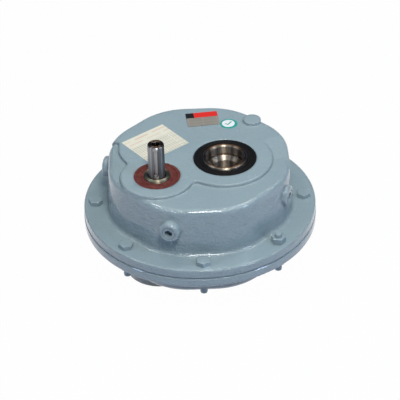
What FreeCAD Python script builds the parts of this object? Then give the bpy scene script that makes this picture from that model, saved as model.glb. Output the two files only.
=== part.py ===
import FreeCAD
import Part
import math
import os
from collections import namedtuple

os.makedirs("parts", exist_ok=True)

V = FreeCAD.Vector
Bearing = namedtuple("Bearing", "bore_r outer_r width ball_d balls")

# Frame in millimetres: Z is the output bore axis with the input shaft end pointing up,
# Z = 0 is the parting plane of the casing, and the flange bolts lie at every 45 degrees from X.

# Casing; the wall sizes are apothems of its eight-sided outline
CASE_X = -35.0
CASE_Y = 6.0
FLANGE_R = 158.0
LOWER_FLANGE_R = 158.6
FLANGE_T = 13.0
FLANGE_EDGE_R = 2.0
PARTING_CHAMFER = 0.9
GASKET_R = 157.0
GASKET_T = 0.5
TOP_Z = 85.0
SHOULDER_Z = 81.0
FLOOR_Z = -49.5
BOTTOM_Z = -65.0
WALL_BASE = 124.3
WALL_TOP = 121.2
INPUT_WALL_TOP = 119.0
INPUT_FLAT = 5
WALL_FLOOR = 123.3
WALL_T = 7.5
TOP_T = 10.0
FLOOR_T = 9.5
CORNER_R = 86.0
TOP_EDGE_R = 7.0
FLOOR_EDGE_R = 8.0
FOOT_FILLET = 5.0

# Raised pad on the top face, with a ramp where the shoulder runs out into it, and the lower bosses
PAD_ROOT_Z = 70.0
PAD_OUTPUT_R = 64.0
PAD_INPUT_R = 49.0
PAD_BACK_R = 57.4
PAD_BACK_X = -85.2
PAD_BACK_Y = 31.6
PAD_CORNER_R = 8.0
PAD_EDGE_R = 1.5
PAD_RIGHT_ANGLE = 35.0
PAD_LEFT_ANGLE = 165.0
RAMP_ANGLE = 17.0
RAMP_LOW = -22.0
RAMP_HIGH = 23.0
LOWER_INPUT_R = 47.5
BLIND_PAD_R = 33.0
BLIND_PAD_Z = -53.0

# Bearing bosses inside the casing and the ribs that hold them to the wall
OUTPUT_BOSS_R = 56.0
INPUT_BOSS_R = 40.0
SMALL_BOSS_R = 31.0
UPPER_BOSS_Z = 52.0
LOWER_BOSS_Z = -33.0
SMALL_BOSS_Z = -24.0
RIB_T = 8.0
RIB_H = 12.0
OUTPUT_RIBS = (-90.0, -40.0, 0.0, 40.0, 90.0)
INPUT_RIBS = (215.0,)
MIDDLE_RIBS = (100.0, 160.0)

# Flange fixings, M10
BOLT_CIRCLE_R = 142.0
BOLT_COUNT = 8
STUD_INDEX = 7
BOLT_R = 5.0
BOLT_END_R = 4.8
STUD_END_R = 4.6
BOLT_HOLE_R = 5.5
BOLT_HEAD_H = 6.4
BOLT_END_Z = -34.0
BOLT_POINT = 0.8
STUD_TOP_Z = 26.5
HEX_AF = 17.0
NUT_H = 8.4
FIRST_HEAD_TURN = 30.0
NEXT_HEAD_TURN = 20.0
DOWEL_R = 4.0
DOWEL_LENGTH = 18.0
DOWEL_END_GAP = 0.5
DOWEL_ANGLES = (67.5, 247.5)

# Oil plugs and their bosses
PLUG_PLACES = ((-109.0, 135.0), (-24.5, 130.5), (71.0, 133.0), (166.0, 133.0))
PLUG_Z = 52.0
PLUG_BOSS_R = 14.2
PLUG_BOSS_EDGE_R = 3.2
PLUG_BOSS_LENGTH = 22.0
DRAIN_ANGLE = 75.0
DRAIN_Z = -25.0
DRAIN_FACE_R = 139.0
PLUG_R = 8.25
PLUG_HOLE_R = 8.35
PLUG_LENGTH = 12.0
PLUG_EDGE = 0.4
PLUG_RECESS = 0.2
PLUG_SOCKET_AF = 10.0
PLUG_SOCKET_DEPTH = 7.0
BLIND_BOSS_R = 12.2
BLIND_BOSS_EDGE_R = 1.2
BLIND_BOSS_RADIUS = 110.0
BLIND_BOSS_ANGLE = 46.0
BLIND_BOSS_Z = 89.0

# Gear train: two helical stages
INPUT_X = -91.3
INPUT_Y = -36.2
FIRST_MODULE = 2.0
FIRST_HELIX = 15.0
FIRST_PINION_TEETH = 16
FIRST_GEAR_TEETH = 42
FIRST_SHIFT = 0.2
FIRST_MID_Z = 32.0
FIRST_GEAR_FACE = 22.0
FIRST_PINION_FACE = 24.0
SECOND_MODULE = 2.5
SECOND_HELIX = 12.0
SECOND_PINION_TEETH = 12
SECOND_GEAR_TEETH = 60
SECOND_SHIFT = 0.4
SECOND_MID_Z = 0.0
SECOND_GEAR_FACE = 30.0
SECOND_PINION_FACE = 32.0
PRESSURE_ANGLE = 20.0
TOOTH_THINNING = 0.2
FLANK_POINTS = 7

# Gear bodies: rim and boss radii, web thickness, lightening holes
FIRST_RIM_R = 36.0
FIRST_BOSS_R = 23.0
FIRST_WEB_T = 14.0
SECOND_RIM_R = 66.0
SECOND_BOSS_R = 44.0
SECOND_WEB_T = 14.0
SECOND_HOLE_R = 7.0
SECOND_HOLE_CIRCLE_R = 55.0
SECOND_HOLES = 6

# Bearings
SMALL_BEARING = Bearing(10.0, 23.5, 14.0, 7.9, 8)
INPUT_BEARING = Bearing(12.5, 31.0, 17.0, 11.5, 7)
OUTPUT_BEARING = Bearing(30.0, 47.5, 18.0, 10.3, 13)
SMALL_LOWER_Z = -41.0
SMALL_UPPER_Z = 56.0
INPUT_BEARING_Z = 55.0
INPUT_LOWER_Z = -54.0
OUTPUT_UPPER_Z = 54.0
OUTPUT_LOWER_Z = -52.0
RACE_CONFORMITY = 0.515
LAND_SHARE = 0.26
CAGE_SHARE = 0.15
CAGE_HEIGHT_SHARE = 0.66
POCKET_GAP = 0.15
BLIND_END_GAP = 0.3

# Fits
FIT_GAP = 0.02
RUN_GAP = 0.05
EDGE_CHAMFER = 1.0

# Input shaft, seal sleeve and circlip
SHAFT_END_R = 11.0
SHAFT_END_Z = 135.0
UNDERCUT_R = 10.7
UNDERCUT_Z = 83.0
INPUT_SEAT_R = 12.5
FOOT_RECESS = 0.5
INPUT_BODY_R = 14.0
INPUT_COLLAR_R = 16.0
INPUT_COLLAR_T = 3.0
INPUT_KEY_W = 6.0
INPUT_KEY_DEPTH = 3.5
INPUT_KEY_Z0 = 90.0
INPUT_KEY_Z1 = 132.0
INPUT_KEY_TURN = -93.0
CENTRE_HOLE_R = 3.4
CENTRE_HOLE_Z = 116.0
CENTRE_SINK_R = 6.0
CENTRE_SINK_Z = 132.0
SLEEVE_R = 17.5
SLEEVE_TOP_Z = 87.0
SLEEVE_EDGE = 0.8
CLIP_T = 1.9
CLIP_GROOVE_T = 2.0
CLIP_GROOVE_R = 32.5
CLIP_OUTER_R = 32.3
CLIP_INNER_R = 28.5
CLIP_EYE_R = 3.0
CLIP_EYE_HOLE_R = 1.25
CLIP_EYE_CIRCLE_R = 27.6
CLIP_EYE_ANGLE = 14.0
CLIP_OPENING = 8.6

# Intermediate shaft
SMALL_SEAT_R = 10.0
MIDDLE_BODY_R = 12.5
GEAR_SEAT_R = 15.0
GEAR_SEAT_Z0 = 16.0
GEAR_SEAT_Z1 = 43.0
MIDDLE_TOP_Z = 69.5
SPACER_R = 14.5
MIDDLE_KEY_W = 8.0
MIDDLE_KEY_FLOOR_R = 11.0
MIDDLE_KEY_TOP_R = 18.0
MIDDLE_KEY_Z0 = 22.0
MIDDLE_KEY_Z1 = 42.0

# Output hub
HUB_R = 30.0
HUB_SEAT_R = 33.0
HUB_COLLAR_R = 39.0
HUB_COLLAR_Z0 = 19.0
HUB_COLLAR_Z1 = 25.0
HUB_TOP_Z = 87.0
HUB_BOTTOM_Z = -64.5
HUB_BORE_R = 20.0
HUB_COUNTERBORE_R = 25.0
HUB_COUNTERBORE_DEPTH = 15.3
HUB_MOUTH_CHAMFER = 1.6
HUB_GROOVE_R = 26.4
HUB_GROOVE_W = 2.2
HUB_GROOVE_DEPTH = 12.2
HUB_KEY_W = 12.0
HUB_KEY_DEPTH = 3.3
GEAR_BOSS_R = 36.0
GEAR_BOSS_STEP = 4.0
GEAR_FOOT_Z = -21.0
OUTPUT_KEY_W = 20.0
OUTPUT_KEY_FLOOR_R = 27.0
OUTPUT_KEY_TOP_R = 37.6
OUTPUT_KEY_HALF = 16.0

# Oil seals
SEAL_WIDTH = 10.0
SEAL_RECESS = 0.5
INPUT_SEAL_R = 31.0
OUTPUT_SEAL_R = 42.5
THROAT_R = 40.0
INPUT_THROAT_R = 27.0

# Nameplate on the back of the top face
PLATE_W = 44.0
PLATE_H = 33.0
PLATE_T = 0.8
PLATE_CORNER_R = 1.5
PLATE_X = -26.7
PLATE_Y = 94.5
PLATE_TURN = 6.0

UPPER_FACE_Z = GASKET_T / 2
FLANGE_TOP_Z = UPPER_FACE_Z + FLANGE_T
SEAL_TOP_Z = TOP_Z - SEAL_RECESS
SEAL_BOTTOM_Z = BOTTOM_Z + SEAL_RECESS
CAVITY_TOP_Z = TOP_Z - TOP_T
CAVITY_FLOOR_Z = FLOOR_Z + FLOOR_T
INPUT_CLIP_Z = INPUT_BEARING_Z + INPUT_BEARING.width
MIDDLE_SHOULDER_Z = SMALL_LOWER_Z + SMALL_BEARING.width
HUB_SHOULDER_Z = OUTPUT_LOWER_Z + OUTPUT_BEARING.width
INPUT_SHOULDER_Z = INPUT_LOWER_Z + INPUT_BEARING.width
REACH_R = 200.0


def polar(radius, degrees, x=0.0, y=0.0):
    angle = math.radians(degrees)
    return x + radius * math.cos(angle), y + radius * math.sin(angle)


def centre_distance(module, helix, pinion_teeth, gear_teeth):
    return module / math.cos(math.radians(helix)) * (pinion_teeth + gear_teeth) / 2


def cylinder(radius, z0, z1, x=0.0, y=0.0):
    return Part.makeCylinder(radius, z1 - z0, V(x, y, z0))


def ring(outer, inner, z0, z1, x=0.0, y=0.0):
    return cylinder(outer, z0, z1, x, y).cut(cylinder(inner, z0 - 1, z1 + 1, x, y))


def prism(points, z0, z1):
    wire = Part.makePolygon([V(x, y, z0) for x, y in points + points[:1]])
    return Part.Face(wire).extrude(V(0, 0, z1 - z0))


def revolved(points, x=0.0, y=0.0):
    wire = Part.makePolygon([V(r, 0, z) for r, z in points + points[:1]])
    solid = Part.Face(wire).revolve(V(0, 0, 0), V(0, 0, 1), 360)
    solid.translate(V(x, y, 0))
    return solid


def fused(first, others):
    return first.fuse(others).removeSplitter()


def planar_edges(shape, z):
    return [e for e in shape.Edges if abs(e.BoundBox.ZMin - z) < 1e-3 and abs(e.BoundBox.ZMax - z) < 1e-3]


def rounded_top(shape, z, radius):
    return shape.makeFillet(radius, planar_edges(shape, z))


def turned(shape, degrees, x=0.0, y=0.0):
    shape.rotate(V(0, 0, 0), V(0, 0, 1), degrees)
    shape.translate(V(x, y, 0))
    return shape


# Turns a shape that was made along Z to point outward from the casing's middle, with its origin at a radius
def faced_outward(shape, degrees, radius, z):
    shape.rotate(V(0, 0, 0), V(0, 1, 0), 90)
    x, y = polar(radius, degrees, CASE_X, CASE_Y)
    turned(shape, degrees, x, y)
    shape.translate(V(0, 0, z))
    return shape


def hex_prism(across_flats, z0, z1, bottom_chamfer):
    corner = across_flats / math.sqrt(3)
    face_r = 0.95 * across_flats / 2
    chamfer_h = (corner - face_r) * math.tan(math.radians(30))
    low_r = face_r if bottom_chamfer else corner
    low_h = chamfer_h if bottom_chamfer else 0.01
    outline = [(0, z0), (low_r, z0), (corner, z0 + low_h), (corner, z1 - chamfer_h), (face_r, z1), (0, z1)]
    return prism([polar(corner, 60 * k) for k in range(6)], z0, z1).common(revolved(outline))


def key_slot(width, floor_r, outer_r, z0, z1):
    half = width / 2
    depth = outer_r - floor_r
    slot = Part.makeBox(depth, width, z1 - z0 - width, V(floor_r, -half, z0 + half))
    ends = [Part.makeCylinder(half, depth, V(floor_r, 0, z), V(1, 0, 0)) for z in (z0 + half, z1 - half)]
    return fused(slot, ends)


def keyway(width, top_r, z0, z1):
    return Part.makeBox(top_r, width, z1 - z0, V(0, -width / 2, z0))


# Casing outlines: eight sides with a flat at every bolt and very round corners; the flat beside the input
# has its own distance from the middle
def octagon(apothem, input_apothem, z):
    corner_r = CORNER_R - (WALL_BASE - apothem)
    middle = V(CASE_X, CASE_Y, z)
    normals = [V(*polar(1, 45 * k), 0) for k in range(8)]
    reaches = [apothem - corner_r] * 8
    reaches[INPUT_FLAT] = input_apothem - corner_r
    turn_cos = math.cos(math.pi / 4)
    turn_sin_squared = 1 - turn_cos ** 2
    centres = []
    for k in range(8):
        after = (k + 1) % 8
        here_share = (reaches[k] - turn_cos * reaches[after]) / turn_sin_squared
        after_share = (reaches[after] - turn_cos * reaches[k]) / turn_sin_squared
        centres.append(middle + normals[k] * here_share + normals[after] * after_share)
    edges = []
    for k in range(8):
        outward = normals[k] * corner_r
        end = centres[k] + outward
        crown = centres[k] + V(*polar(corner_r, 45 * k + 22.5), 0)
        after = centres[k] + normals[(k + 1) % 8] * corner_r
        edges.append(Part.LineSegment(centres[k - 1] + outward, end).toShape())
        edges.append(Part.Arc(end, crown, after).toShape())
    return Part.Wire(edges)


# Outline of the upper wall at a height: it narrows upward, most at the flat beside the input
def wall_outline(z, inset):
    share = (z - UPPER_FACE_Z) / (TOP_Z - UPPER_FACE_Z)
    apothem = WALL_BASE + share * (WALL_TOP - WALL_BASE) - inset
    input_apothem = WALL_BASE + share * (INPUT_WALL_TOP - WALL_BASE) - inset
    return octagon(apothem, input_apothem, z)


def upper_block(z0, z1, inset, edge_r):
    block = Part.makeLoft([wall_outline(z0, inset), wall_outline(z1, inset)], True, True)
    return rounded_top(block, z1, edge_r)


def lower_block(z0, z1, inset):
    apothem0 = WALL_BASE - inset
    apothem1 = WALL_FLOOR - inset
    block = Part.makeLoft([octagon(apothem0, apothem0, z0), octagon(apothem1, apothem1, z1)], True, True)
    return rounded_top(block, z1, FLOOR_EDGE_R)


def flange_disc(radius, outer_z, parting_z):
    disc = cylinder(radius, min(outer_z, parting_z), max(outer_z, parting_z), CASE_X, CASE_Y)
    disc = rounded_top(disc, outer_z, FLANGE_EDGE_R)
    return disc.makeChamfer(PARTING_CHAMFER, planar_edges(disc, parting_z))


def plug_boss(radius, degrees, face_r, z):
    boss = rounded_top(cylinder(radius, -PLUG_BOSS_LENGTH, 0), 0, PLUG_BOSS_EDGE_R)
    return faced_outward(boss, degrees, face_r, z)


def plug_hole(degrees, face_r, z):
    return faced_outward(cylinder(PLUG_HOLE_R, -3 * PLUG_LENGTH, PLUG_LENGTH), degrees, face_r, z)


# Lead-in at the mouth of a seal bore
def seal_mouth(radius, z, outward, x=0.0, y=0.0):
    mouth_r = radius + SEAL_RECESS
    outline = [(0, z), (mouth_r, z), (radius, z - outward * SEAL_RECESS), (0, z - outward * SEAL_RECESS)]
    return revolved(outline, x, y)


# Gear geometry
def involute(angle):
    return math.tan(angle) - angle


def tooth_outline(teeth, module, helix, shift, turn, z):
    beta = math.radians(helix)
    alpha = math.atan(math.tan(math.radians(PRESSURE_ANGLE)) / math.cos(beta))
    transverse = module / math.cos(beta)
    pitch_r = transverse * teeth / 2
    base_r = pitch_r * math.cos(alpha)
    tip_r = pitch_r + module * (1 + shift)
    root_r = pitch_r - module * (1.25 - shift)
    thickness = transverse * math.pi / 2 + 2 * shift * module * math.tan(alpha) - TOOTH_THINNING
    half_pitch = thickness / (2 * pitch_r) + involute(alpha)
    step = 2 * math.pi / teeth
    radii = [root_r + (tip_r - root_r) * i / (FLANK_POINTS - 1) for i in range(FLANK_POINTS)]
    halves = [half_pitch - involute(math.acos(base_r / r)) if r > base_r else half_pitch for r in radii]

    def point(radius, angle):
        return V(radius * math.cos(angle), radius * math.sin(angle), z)

    edges = []
    for k in range(teeth):
        middle = turn + k * step
        rising = [point(r, middle - h) for r, h in zip(radii, halves)]
        falling = [point(r, middle + h) for r, h in zip(radii, halves)]
        falling.reverse()
        following = point(root_r, middle + step - halves[0])
        for flank in (rising, falling):
            curve = Part.BSplineCurve()
            curve.interpolate(flank)
            edges.append(curve.toShape())
        edges.append(Part.Arc(rising[-1], point(tip_r, middle), falling[0]).toShape())
        edges.append(Part.Arc(falling[-1], point(root_r, middle + step / 2), following).toShape())
    return Part.Wire(Part.__sortEdges__(edges))


def helical_gear(teeth, module, helix, hand, shift, mid_z, face, turn_degrees, sections):
    pitch_r = module / math.cos(math.radians(helix)) * teeth / 2
    lead = hand * math.tan(math.radians(helix)) / pitch_r
    wires = []
    for i in range(sections):
        offset = face * (i / (sections - 1) - 0.5)
        turn = math.radians(turn_degrees) + lead * offset
        wires.append(tooth_outline(teeth, module, helix, shift, turn, mid_z + offset))
    return Part.makeLoft(wires, True, False)


# Hollows on both faces of a gear that leave a web between rim and boss
def web_hollows(rim_r, boss_r, mid_z, web_t):
    above = ring(rim_r, boss_r, mid_z + web_t / 2, mid_z + 40)
    below = ring(rim_r, boss_r, mid_z - 40, mid_z - web_t / 2)
    return [above, below]


# Intermediate axis: the corner of the triangle of the two centre distances, behind the other two axes
FIRST_DISTANCE = centre_distance(FIRST_MODULE, FIRST_HELIX, FIRST_PINION_TEETH, FIRST_GEAR_TEETH)
SECOND_DISTANCE = centre_distance(SECOND_MODULE, SECOND_HELIX, SECOND_PINION_TEETH, SECOND_GEAR_TEETH)
SPAN = math.hypot(INPUT_X, INPUT_Y)
REACH = (SECOND_DISTANCE ** 2 - FIRST_DISTANCE ** 2 + SPAN ** 2) / (2 * SPAN)
RISE = math.sqrt(SECOND_DISTANCE ** 2 - REACH ** 2)
MIDDLE_X = (INPUT_X * REACH + INPUT_Y * RISE) / SPAN
MIDDLE_Y = (INPUT_Y * REACH - INPUT_X * RISE) / SPAN
MIDDLE_ANGLE = math.degrees(math.atan2(MIDDLE_Y, MIDDLE_X))
INPUT_ANGLE = math.degrees(math.atan2(INPUT_Y - MIDDLE_Y, INPUT_X - MIDDLE_X))

OUTPUT_AXIS = (0.0, 0.0)
INPUT_AXIS = (INPUT_X, INPUT_Y)
MIDDLE_AXIS = (MIDDLE_X, MIDDLE_Y)


# Ribs that run from the three axes out to the wall
def ribs(z0, z1):
    plates = []
    for axis, angles in ((OUTPUT_AXIS, OUTPUT_RIBS), (INPUT_AXIS, INPUT_RIBS), (MIDDLE_AXIS, MIDDLE_RIBS)):
        for degrees in angles:
            plate = Part.makeBox(REACH_R, RIB_T, z1 - z0, V(0, -RIB_T / 2, z0))
            plates.append(turned(plate, degrees, *axis))
    return plates


nodes = {}

# Raised pad of the upper casing: discs round the two openings and one behind them, joined to the whole back
back_middle = (PAD_BACK_X, PAD_BACK_Y)
back_points = [OUTPUT_AXIS, polar(REACH_R, PAD_RIGHT_ANGLE), (REACH_R, REACH_R), (-REACH_R, REACH_R)]
back_points += [polar(REACH_R, PAD_LEFT_ANGLE, *back_middle), back_middle]
pad_discs = [
    cylinder(PAD_OUTPUT_R, PAD_ROOT_Z, TOP_Z, *OUTPUT_AXIS),
    cylinder(PAD_INPUT_R, PAD_ROOT_Z, TOP_Z, *INPUT_AXIS),
    cylinder(PAD_BACK_R, PAD_ROOT_Z, TOP_Z, *back_middle),
]
pad = fused(prism(back_points, PAD_ROOT_Z, TOP_Z), pad_discs)


def over_casing(edge):
    middle = edge.valueAt((edge.FirstParameter + edge.LastParameter) / 2)
    return math.hypot(middle.x - CASE_X, middle.y - CASE_Y) < WALL_TOP


uprights = [e for e in pad.Edges if isinstance(e.Curve, Part.Line) and e.BoundBox.ZLength > 1]
pad = pad.makeFillet(PAD_CORNER_R, [e for e in uprights if over_casing(e)])
pad = pad.makeFillet(PAD_EDGE_R, [e for e in planar_edges(pad, TOP_Z) if over_casing(e)])

# Ramp beside the output disc, where the shoulder rises to the pad
along = V(*polar(1, RAMP_ANGLE + 90), 0)
outward = V(*polar(1, RAMP_ANGLE), 0)
slope = (TOP_Z - SHOULDER_Z) / (RAMP_HIGH - RAMP_LOW)
ramp_start = 2 * RAMP_LOW
ramp_end = 2 * RAMP_HIGH
ramp_section = [
    (ramp_start, PAD_ROOT_Z), (ramp_end, PAD_ROOT_Z), (ramp_end, TOP_Z), (RAMP_HIGH, TOP_Z),
    (ramp_start, SHOULDER_Z + slope * (ramp_start - RAMP_LOW)),
]
ramp_points = [along * s + V(0, 0, z) for s, z in ramp_section + ramp_section[:1]]
ramp = Part.Face(Part.makePolygon(ramp_points)).extrude(outward * REACH_R)

# Upper casing: wall with a shoulder, raised pad, flange. The disc round the input stands out over the
# rounded top edge of the wall.
low_body = upper_block(UPPER_FACE_Z, SHOULDER_Z, 0, TOP_EDGE_R)
high_body = upper_block(UPPER_FACE_Z, TOP_Z, 0, TOP_EDGE_R)
input_column = cylinder(PAD_INPUT_R + PAD_CORNER_R, PAD_ROOT_Z, TOP_Z, *INPUT_AXIS)
raised = fused(high_body, [input_column]).common(fused(pad, [ramp]))
upper = fused(low_body, [raised, flange_disc(FLANGE_R, FLANGE_TOP_Z, UPPER_FACE_Z)])
casing_middle = V(CASE_X, CASE_Y, FLANGE_TOP_Z)
foot = [e for e in planar_edges(upper, FLANGE_TOP_Z) if e.BoundBox.Center.distanceToPoint(casing_middle) > 1]
upper = upper.makeFillet(FOOT_FILLET, foot)

# Plug bosses on the wall and the blind boss on the top edge
bosses = [plug_boss(PLUG_BOSS_R, degrees, face_r, PLUG_Z) for degrees, face_r in PLUG_PLACES]
boss_x, boss_y = polar(BLIND_BOSS_RADIUS, BLIND_BOSS_ANGLE, CASE_X, CASE_Y)
blind_boss = cylinder(BLIND_BOSS_R, PAD_ROOT_Z, BLIND_BOSS_Z, boss_x, boss_y)
bosses.append(rounded_top(blind_boss, BLIND_BOSS_Z, BLIND_BOSS_EDGE_R))
upper = fused(upper, bosses)

# Cavity of the upper casing, which leaves the bearing bosses and their ribs standing
inner_bosses = [
    cylinder(OUTPUT_BOSS_R, UPPER_BOSS_Z, TOP_Z, *OUTPUT_AXIS),
    cylinder(INPUT_BOSS_R, UPPER_BOSS_Z, TOP_Z, *INPUT_AXIS),
    cylinder(SMALL_BOSS_R, UPPER_BOSS_Z, TOP_Z, *MIDDLE_AXIS),
]
cavity = upper_block(0, CAVITY_TOP_Z, WALL_T, FLOOR_EDGE_R)
cavity = cavity.cut(inner_bosses + ribs(CAVITY_TOP_Z - RIB_H, TOP_Z))
bores = [
    cylinder(OUTPUT_BEARING.outer_r, 0, OUTPUT_UPPER_Z + OUTPUT_BEARING.width, *OUTPUT_AXIS),
    cylinder(THROAT_R, 0, TOP_Z, *OUTPUT_AXIS),
    cylinder(OUTPUT_SEAL_R, SEAL_TOP_Z - SEAL_WIDTH, TOP_Z, *OUTPUT_AXIS),
    seal_mouth(OUTPUT_SEAL_R, TOP_Z, 1, *OUTPUT_AXIS),
    cylinder(INPUT_THROAT_R, 0, INPUT_BEARING_Z, *INPUT_AXIS),
    cylinder(INPUT_SEAL_R, INPUT_BEARING_Z, TOP_Z, *INPUT_AXIS),
    cylinder(CLIP_GROOVE_R, INPUT_CLIP_Z, INPUT_CLIP_Z + CLIP_GROOVE_T, *INPUT_AXIS),
    seal_mouth(INPUT_SEAL_R, TOP_Z, 1, *INPUT_AXIS),
    cylinder(SMALL_BEARING.outer_r, 0, SMALL_UPPER_Z + SMALL_BEARING.width + BLIND_END_GAP, *MIDDLE_AXIS),
]
bolt_places = [polar(BOLT_CIRCLE_R, 360 * k / BOLT_COUNT, CASE_X, CASE_Y) for k in range(BOLT_COUNT)]
dowel_places = [polar(BOLT_CIRCLE_R, a, CASE_X, CASE_Y) for a in DOWEL_ANGLES]
dowel_half = DOWEL_LENGTH / 2
dowel_depth = dowel_half + DOWEL_END_GAP
flange_holes = [cylinder(BOLT_HOLE_R, -2 * FLANGE_T, 2 * FLANGE_T, x, y) for x, y in bolt_places]
flange_holes += [cylinder(DOWEL_R + FIT_GAP, -dowel_depth, dowel_depth, x, y) for x, y in dowel_places]
plug_holes = [plug_hole(degrees, face_r, PLUG_Z) for degrees, face_r in PLUG_PLACES]
nodes["upper_casing"] = upper.cut([cavity] + bores + flange_holes + plug_holes).removeSplitter()

# Lower casing: shallower half with the same wall outline; bearing bosses stand out under the three axes
lower = lower_block(-UPPER_FACE_Z, FLOOR_Z, 0)
lower_extras = [
    flange_disc(LOWER_FLANGE_R, -FLANGE_TOP_Z, -UPPER_FACE_Z),
    plug_boss(PLUG_BOSS_R, DRAIN_ANGLE, DRAIN_FACE_R, DRAIN_Z),
    cylinder(PAD_OUTPUT_R, BOTTOM_Z, CAVITY_FLOOR_Z, *OUTPUT_AXIS),
    cylinder(LOWER_INPUT_R, BOTTOM_Z, CAVITY_FLOOR_Z, *INPUT_AXIS),
    cylinder(BLIND_PAD_R, BLIND_PAD_Z, CAVITY_FLOOR_Z, *MIDDLE_AXIS),
]
lower = fused(lower, lower_extras)
lower_bosses = [
    cylinder(OUTPUT_BOSS_R, BOTTOM_Z, LOWER_BOSS_Z, *OUTPUT_AXIS),
    cylinder(INPUT_BOSS_R, BOTTOM_Z, LOWER_BOSS_Z, *INPUT_AXIS),
    cylinder(SMALL_BOSS_R, BOTTOM_Z, SMALL_BOSS_Z, *MIDDLE_AXIS),
]
lower_cavity = lower_block(0, CAVITY_FLOOR_Z, WALL_T)
lower_cavity = lower_cavity.cut(lower_bosses + ribs(BOTTOM_Z, CAVITY_FLOOR_Z + RIB_H))
lower_bores = [
    cylinder(OUTPUT_BEARING.outer_r, OUTPUT_LOWER_Z, 0, *OUTPUT_AXIS),
    cylinder(THROAT_R, BOTTOM_Z, 0, *OUTPUT_AXIS),
    cylinder(OUTPUT_SEAL_R, BOTTOM_Z, SEAL_BOTTOM_Z + SEAL_WIDTH, *OUTPUT_AXIS),
    seal_mouth(OUTPUT_SEAL_R, BOTTOM_Z, -1, *OUTPUT_AXIS),
    cylinder(INPUT_BEARING.outer_r, INPUT_LOWER_Z - BLIND_END_GAP, 0, *INPUT_AXIS),
    cylinder(SMALL_BEARING.outer_r, SMALL_LOWER_Z - BLIND_END_GAP, 0, *MIDDLE_AXIS),
    plug_hole(DRAIN_ANGLE, DRAIN_FACE_R, DRAIN_Z),
]
nodes["lower_casing"] = lower.cut([lower_cavity] + lower_bores + flange_holes).removeSplitter()

# Gasket in the parting line
gasket = cylinder(GASKET_R, -UPPER_FACE_Z, UPPER_FACE_Z, CASE_X, CASE_Y)
opening_apothem = WALL_BASE - WALL_T
opening = Part.Face(octagon(opening_apothem, opening_apothem, -GASKET_T)).extrude(V(0, 0, 2 * GASKET_T))
nodes["casing_gasket"] = gasket.cut([opening] + flange_holes)

# Flange fixings: seven bolts from above, one stud with a nut on top, nuts underneath.
# The free ends beyond the nuts are a little slimmer than the shank, as a rolled thread is.
nut_end_z = -FLANGE_TOP_Z - NUT_H
free_end = [
    (0, BOLT_END_Z), (BOLT_END_R - BOLT_POINT, BOLT_END_Z), (BOLT_END_R, BOLT_END_Z + BOLT_POINT),
    (BOLT_END_R, nut_end_z), (BOLT_R, nut_end_z),
]
bolt_shank = revolved(free_end + [(BOLT_R, FLANGE_TOP_Z + 1), (0, FLANGE_TOP_Z + 1)])
bolt = fused(hex_prism(HEX_AF, FLANGE_TOP_Z, FLANGE_TOP_Z + BOLT_HEAD_H, False), [bolt_shank])
nut_top_z = FLANGE_TOP_Z + NUT_H
stud_top = [
    (BOLT_R, nut_top_z), (STUD_END_R, nut_top_z), (STUD_END_R, STUD_TOP_Z - BOLT_POINT),
    (STUD_END_R - BOLT_POINT, STUD_TOP_Z), (0, STUD_TOP_Z),
]
stud = revolved(free_end + stud_top)
nut_hole = cylinder(BOLT_R + FIT_GAP, BOLT_END_Z, STUD_TOP_Z)
lower_nut = hex_prism(HEX_AF, nut_end_z, -FLANGE_TOP_Z, True).cut(nut_hole)
upper_nut = hex_prism(HEX_AF, FLANGE_TOP_Z, nut_top_z, True).cut(nut_hole)
bolts = []
nuts = []
for k, (x, y) in enumerate(bolt_places):
    head_turn = FIRST_HEAD_TURN + NEXT_HEAD_TURN * k
    if k == STUD_INDEX:
        nodes["torque_arm_stud"] = turned(stud.copy(), 0, x, y)
        stud_nuts = [turned(upper_nut.copy(), head_turn, x, y), turned(lower_nut.copy(), -head_turn, x, y)]
        nodes["stud_nuts"] = Part.makeCompound(stud_nuts)
    else:
        bolts.append(turned(bolt.copy(), head_turn, x, y))
        nuts.append(turned(lower_nut.copy(), -head_turn, x, y))
nodes["casing_bolts"] = Part.makeCompound(bolts)
nodes["casing_nuts"] = Part.makeCompound(nuts)
dowels = [cylinder(DOWEL_R, -dowel_half, dowel_half, x, y) for x, y in dowel_places]
nodes["dowel_pins"] = Part.makeCompound(dowels)

# Oil plugs: socket plugs just under the faces of their bosses
plug = cylinder(PLUG_R, -PLUG_LENGTH, 0)
plug = plug.makeChamfer(PLUG_EDGE, planar_edges(plug, 0))
plug = plug.cut(hex_prism(PLUG_SOCKET_AF, -PLUG_SOCKET_DEPTH, 1, False))
plug_seats = [(a, face_r, PLUG_Z) for a, face_r in PLUG_PLACES] + [(DRAIN_ANGLE, DRAIN_FACE_R, DRAIN_Z)]
plugs = [faced_outward(plug.copy(), a, face_r - PLUG_RECESS, z) for a, face_r, z in plug_seats]
nodes["oil_plugs"] = Part.makeCompound(plugs)

# Nameplate on the machined top face
plate = Part.makeBox(PLATE_W, PLATE_H, PLATE_T, V(-PLATE_W / 2, -PLATE_H / 2, TOP_Z))
plate_corners = [e for e in plate.Edges if abs(e.BoundBox.ZLength - PLATE_T) < 1e-3]
plate = plate.makeFillet(PLATE_CORNER_R, plate_corners)
nodes["nameplate"] = turned(plate, PLATE_TURN, PLATE_X, PLATE_Y)


# Lower end of a shaft, which stands in a bearing that is closed underneath
def shaft_foot(seat_r, bearing_z, shoulder_z):
    foot_z = bearing_z + FOOT_RECESS
    chamfer = [(seat_r - EDGE_CHAMFER, foot_z), (seat_r, foot_z + EDGE_CHAMFER)]
    return [(0, foot_z)] + chamfer + [(seat_r, shoulder_z)]


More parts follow.
